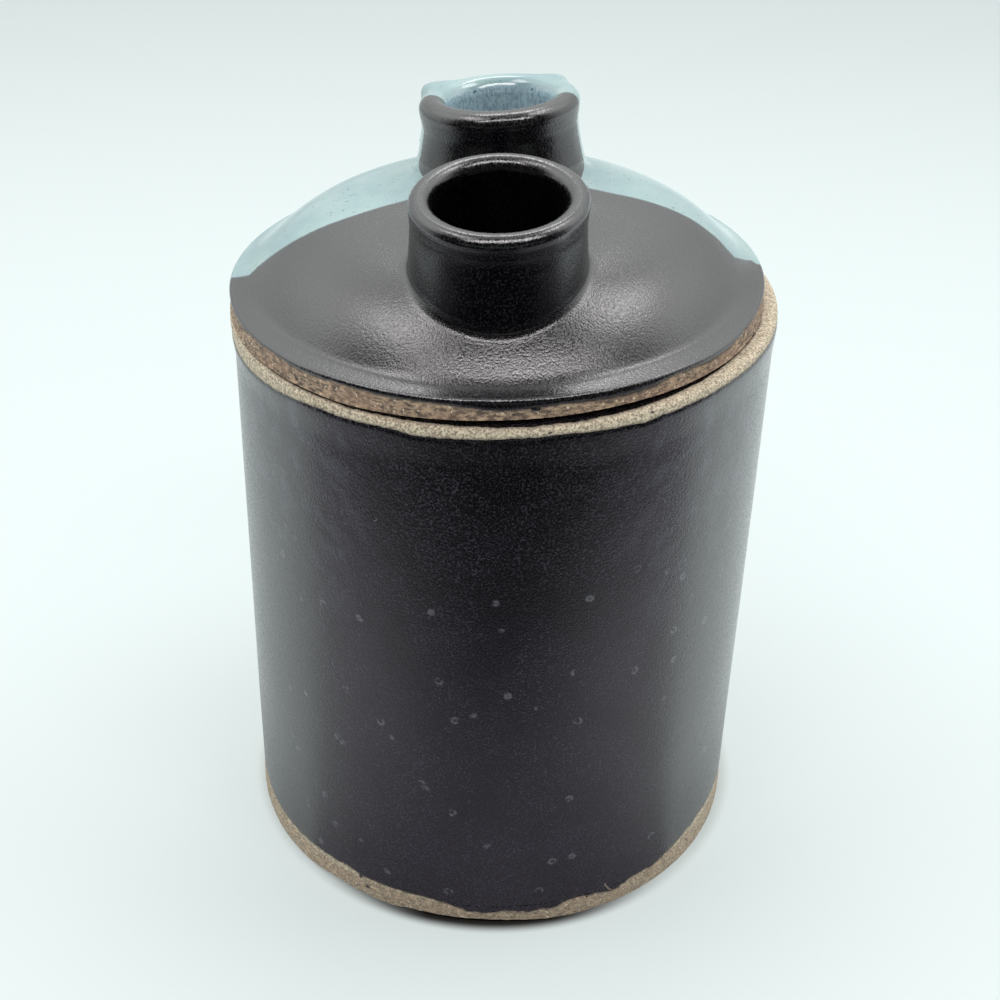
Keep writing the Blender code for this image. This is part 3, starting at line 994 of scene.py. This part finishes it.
def black_finish(place):
    """Colour, roughness and height of the satin black glaze."""
    height = parts_of(place)[2]
    mottle = noise_of(place, MOTTLE)
    speckle = noise_of(place, SPECKLE)
    # The pale specks fade out inside the bores: painted shade
    dust_and_bore_shade = product(ramp(speckle, SPECKLE.limits), ramp(mottle, *DUST_BY_MOTTLE),
                   ramp(attribute(place, "deep"), *DUST_BY_BORE_SHADE), ramp(height, *DUST_BY_HEIGHT))
    marks = product(ring_marks(place), ramp(height, MARK_HEIGHTS), noise_share(place, MARKS))
    hole = ramp(cell_distance(place, HOLE_SPACING), HOLE_LIMITS)
    colour = painted(mixed(ramp(mottle, MOTTLE.limits), *MOTTLE.colour),
                     (product(ramp(height, LID_HEIGHTS), LID_BLACK_SHARE), BLACK),
                     (dust_and_bore_shade, SPECKLE.colour), (product(side_cloud(place), CLOUD.share), CLOUD.colour),
                     (product(marks, MARKS.share), MARKS.colour), (hole, BLACK))
    rough = ramp(speckle, *SPECKLE_ROUGH)
    fine_height = ramp(attribute(place, "lip"), *SPECKLE_HEIGHT)
    wave = noise_of(place, BLACK_WAVE)
    return colour, rough, relief((speckle, fine_height), (wave, BLACK_WAVE.height),
                                 (marks, MARKS.height), (hole, HOLE_HEIGHT))


def blue_finish(place):
    """Colour and height of the glossy pale blue glaze."""
    deep = attribute(place, "deep")
    # Inside the bore the blue is mixed paler, a painted light, and streaked
    streak = product(noise_share(stretched(place, STREAK_STRETCH), STREAK), deep, STREAK.share)
    colour = painted(mixed(noise_share(place, BLUE_CLOUD), *BLUE_CLOUD.colour),
                     (product(deep, BORE_PAINTED_LIGHT_SHARE), BORE_PAINTED_LIGHT_BLUE), (streak, STREAK.colour),
                     (noise_share(place, BLUE_FLECK), BLUE_FLECK.colour))
    return colour, product(noise_of(place, BLUE_WAVE), BLUE_WAVE.height)


def make_stoneware(name, gloss):
    """A material for the pieces; the mesh says where it is bare, black or blue."""
    material = bpy.data.materials.new(name)
    material.use_nodes = True
    tree = material.node_tree
    place = object_place(tree)
    glaze, blue = attribute(tree, "glaze"), attribute(tree, "blue")
    fine = noise_of(place, WANDER)
    blue_edge, glaze_edge = (math_of('MULTIPLY_ADD', fine, WANDER_REACH,
                                     math_of('SUBTRACT', inside, 0.5 * WANDER_REACH))
                             for inside in (blue, glaze))
    blue_share = ramp(blue_edge, BLUE_EDGE)
    glaze_share = ramp(glaze_edge, GLAZE_EDGE)
    clay_colour, clay_height = clay_finish(place, glaze)
    black_colour, black_rough, black_height = black_finish(place)
    blue_colour, blue_height = blue_finish(place)
    line = product(*(ramp(blue_edge, limits) for limits in LINE_LIMITS))
    coat_colour = painted(black_colour, (blue_share, blue_colour),
                          (product(line, LINE_SHARE), LINE_COLOUR))
    coat_rough = blended(blue_share, black_rough, BLUE_ROUGH)
    coat_height = blended(blue_share, black_height, blue_height)
    height = blended(glaze_share, clay_height, coat_height)
    bump = node(tree, 'ShaderNodeBump', {"Height": height, "Strength": 1.0, "Distance": 1.0})
    shader = tree.nodes["Principled BSDF"].inputs
    tree.links.new(mixed(glaze_share, clay_colour, coat_colour), shader["Base Color"])
    tree.links.new(blended(glaze_share, CLAY_ROUGH, coat_rough), shader["Roughness"])
    tree.links.new(bump.outputs["Normal"], shader["Normal"])
    shader["IOR"].default_value = gloss
    shader["Specular Tint"].default_value = GLAZE_TINT
    return material


# The stage


CAMERA_PLACE = (0.000438, -0.3565, 0.3184)
CAMERA_ELEVATION = 0.5744
CAMERA_ROLL = 1.0
CAMERA_LENS = 58.55
CAMERA_SENSOR = 36.0
CAMERA_CLIP = (0.01, 50.0)

# Floor: its size and colours, then factors on its glow by place, with painted shade near the foot
FLOOR_SIZE = 6.0
FLOOR_COLOUR = (0.80, 0.87, 0.86)
FLOOR_SEEN = (0.40, 0.44, 0.437)
FLOOR_GLOW = (0.390, 0.424, 0.422)
FLOOR_ROUGH = 0.9
FLOOR_FAR = ((0.25, 0.85), 1.0, 0.87)
# Painted light: reflections see the floor glow brighter on the right
FLOOR_LIGHT_RIGHT_IN_REFLECTIONS = ((-0.05, 0.22), 1.0, 1.55)
FLOOR_SHADE_BY_FOOT = ((0.068, 0.100), 0.45, 1.0)
FLOOR_SHADED = ((0.068, 0.140), 0.92, 1.0)
# Painted contact shadow on the floor round the foot: radii, fade at the sides, colour
CONTACT_SHADOW_RADII = (0.0649, 0.0686)
CONTACT_SHADOW_ASIDE = ((0.015, 0.050), 0.0, 0.8)
CONTACT_SHADOW_COLOUR = (0.04, 0.038, 0.036)

# The dark sheet in front
SHADE_EDGE = -0.0440
SHADE_LENGTH = 1.6
SHADE_HEIGHT = 0.0006
SHADE_DEPTHS = (-0.260, -0.0665)
SHADE_EDGE_DEPTHS = (-0.085, SHADE_EDGE)
SHADE_ASIDE = (0.020, 0.110)
SHADE_FAR_ASIDE = ((0.270, 0.150), 0.3, 1.0)
SHADE_EDGE_COLOUR = (0.560, 0.590, 0.590)
SHADE_NEAR_COLOUR = (0.262, 0.252, 0.300)
SHADE_SIDE_COLOUR = (0.440, 0.440, 0.480)
SHADE_FAR_COLOUR = (0.012, 0.012, 0.012)

# World: factors on its strength by X, Y and Z of the direction
WORLD_COLOUR = (0.95, 0.995, 0.985)
WORLD_FRONT_Y = ((-0.35, 0.15), 0.03, 1.0)
WORLD_ABOVE_Z = ((0.80, 0.95), 1.0, 0.50)
WORLD_SIDES_X = ((0.45, 0.85), 1.0, 1.30)
WORLD_BAND_Z = ((0.15, 0.70), 0.85, 1.60)
WORLD_SEEN = 0.93

# Lights: name, place, size and watts
LIGHTS = (("front_light", (0.05, -0.55, 0.98), (1.30, 0.20), 5.2),
          ("back_light", (0.00, 0.52, 0.98), (0.50, 0.22), 1.5),
          ("left_light", (-0.52, -0.12, 1.06), (0.45, 0.34), 1.6),
          ("right_light", (0.55, 0.12, 1.08), (0.45, 0.34), 1.6))
LIGHT_TARGET = (0.0, 0.0, 0.1)


def make_camera():
    """The photo's camera, from its fitted place, elevation and roll."""
    data = bpy.data.cameras.new("camera")
    data.lens = CAMERA_LENS
    data.sensor_width = CAMERA_SENSOR
    data.clip_start, data.clip_end = CAMERA_CLIP
    camera = new_object("camera", data)
    turn = Matrix.Rotation(0.5 * math.pi - CAMERA_ELEVATION, 4, 'X')
    turn = turn @ Matrix.Rotation(math.radians(CAMERA_ROLL), 4, 'Z')
    camera.matrix_world = Matrix.Translation(CAMERA_PLACE) @ turn
    bpy.context.scene.camera = camera


def plain_material(name, colour, roughness):
    """A matte material for the stage, with its node tree and shader inputs."""
    material = bpy.data.materials.new(name)
    material.use_nodes = True
    shader = material.node_tree.nodes["Principled BSDF"].inputs
    shader["Base Color"].default_value = (*colour, 1.0)
    shader["Roughness"].default_value = roughness
    shader["Specular IOR Level"].default_value = 0.0
    return material, material.node_tree, shader


def flat_sheet(name, near, far, height, material):
    """A flat sheet of the stage, as wide as the floor, between two places along Y."""
    half = 0.5 * FLOOR_SIZE
    corners = [(x, y, height) for x, y in ((-half, near), (half, near), (half, far), (-half, far))]
    mesh = bpy.data.meshes.new(name)
    mesh.from_pydata(corners, [], [(0, 1, 2, 3)])
    mesh.materials.append(material)
    sheet = new_object(name, mesh)
    return sheet


def make_floor():
    """The pale floor, with a painted contact shadow under the front of the foot and painted shade round it.
    """
    material, tree, shader = plain_material("floor", FLOOR_COLOUR, FLOOR_ROUGH)
    rays = node(tree, 'ShaderNodeLightPath').outputs
    glossy = rays["Is Glossy Ray"]
    seen = math_of('MAXIMUM', rays["Is Camera Ray"], glossy)
    place = object_place(tree)
    x, y, _ = parts_of(place)
    away = node(tree, 'ShaderNodeVectorMath', {0: place}, operation='LENGTH').outputs["Value"]
    # In reflections the floor glows brighter on the right: painted light
    right = blended(glossy, 1.0, ramp(x, *FLOOR_LIGHT_RIGHT_IN_REFLECTIONS))
    # Painted contact shadow round the foot, weaker at the sides
    beside = ramp(math_of('ABSOLUTE', x), *CONTACT_SHADOW_ASIDE)
    outside_contact_shadow = blended(beside, ramp(away, CONTACT_SHADOW_RADII), 1.0)
    # Painted shade near the foot, stronger in what reflections see
    shade_by_foot = blended(glossy, ramp(away, *FLOOR_SHADED), ramp(away, *FLOOR_SHADE_BY_FOOT))
    glow = product(ramp(y, *FLOOR_FAR), right, seen, outside_contact_shadow, shade_by_foot)
    dim = [FLOOR_FAR[2] * part for part in FLOOR_SEEN]
    shown = mixed(outside_contact_shadow, CONTACT_SHADOW_COLOUR, mixed(ramp(y, FLOOR_FAR[0]), FLOOR_SEEN, dim))
    tree.links.new(mixed(seen, FLOOR_COLOUR, shown), shader["Base Color"])
    tree.links.new(glow, shader["Emission Strength"])
    shader["Emission Color"].default_value = (*FLOOR_GLOW, 1.0)
    flat_sheet("floor", -0.5 * FLOOR_SIZE, 0.5 * FLOOR_SIZE, 0.0, material)


def make_dark_front():
    """A sheet that only reflections see; it darkens the wall low in front."""
    material, tree, shader = plain_material("dark_front", SHADE_FAR_COLOUR, 1.0)
    x, y, _ = parts_of(object_place(tree))
    off_axis = math_of('ABSOLUTE', x)
    beside = ramp(off_axis, SHADE_ASIDE)
    aside = product(beside, ramp(off_axis, *SHADE_FAR_ASIDE))
    lit = product(ramp(y, SHADE_EDGE_DEPTHS), beside)
    near = painted(SHADE_NEAR_COLOUR, (aside, SHADE_SIDE_COLOUR), (lit, SHADE_EDGE_COLOUR))
    tree.links.new(mixed(ramp(y, SHADE_DEPTHS), SHADE_FAR_COLOUR, near), shader["Base Color"])
    shade = flat_sheet("dark_front", SHADE_EDGE - SHADE_LENGTH, SHADE_EDGE, SHADE_HEIGHT, material)
    shade.visible_camera = shade.visible_diffuse = shade.visible_shadow = False
    shade.visible_transmission = False


def make_world():
    """Light from all round, brighter at mid height and at the sides, dimmer above and in front."""
    world = bpy.data.worlds.new("world")
    world.use_nodes = True
    tree = world.node_tree
    background = tree.nodes["Background"].inputs
    background["Color"].default_value = (*WORLD_COLOUR, 1.0)
    x, y, z = parts_of(node(tree, 'ShaderNodeTexCoord').outputs["Generated"])
    strength = product(ramp(y, *WORLD_FRONT_Y), ramp(z, *WORLD_ABOVE_Z),
                       ramp(math_of('ABSOLUTE', x), *WORLD_SIDES_X), ramp(z, *WORLD_BAND_Z))
    seen = node(tree, 'ShaderNodeLightPath').outputs["Is Camera Ray"]
    tree.links.new(blended(seen, strength, WORLD_SEEN), background["Strength"])
    bpy.context.scene.world = world


def soft_light(name, place, size, power):
    """A soft light that points at the lid."""
    data = bpy.data.lights.new(name, 'AREA')
    data.shape = 'RECTANGLE'
    data.size, data.size_y = size
    data.energy = power
    light = new_object(name, data)
    light.location = place
    light.rotation_euler = (Vector(LIGHT_TARGET) - Vector(place)).to_track_quat('-Z', 'Y').to_euler()


def main():
    """Build the pieces, dress them and set the stage."""
    front = place_spout(FRONT)
    rear = place_spout(REAR)
    glazed = make_stoneware("glazed_stoneware", GLAZE_IOR)
    lid = make_lid(((FRONT, front), (REAR, rear)))
    pieces = (
        (make_foot(), "floor_disc", "canister", "bare_clay"),
        (make_body_wall(), "body_wall", "canister", "dark_glaze"),
        (lid, "lid_slab", "lid", "lid_glaze"),
        (make_ring(), "locating_ring", "lid", "bare_clay"),
        (make_spout("lower_spout", FRONT, front), "front_spout", "lid", "dark_glaze"),
        (make_spout("upper_spout", REAR, rear, rear_blue), "rear_spout", "lid", "rear_glaze"),
    )
    for piece, cad_node, body, slot in pieces:
        piece.data.materials.append(glazed)
        # The spouts take a second, less glossy copy of the glaze on their walls: painted shade
        if cad_node in SHADED_WALL_IOR:
            piece.data.materials.append(make_stoneware(cad_node + "_wall", SHADED_WALL_IOR[cad_node]))
        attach(piece, body)
        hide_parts(cad_node)
    make_floor()
    make_dark_front()
    make_world()
    for light in LIGHTS:
        soft_light(*light)
    make_camera()
    bpy.context.scene.view_settings.view_transform = 'Standard'


main()
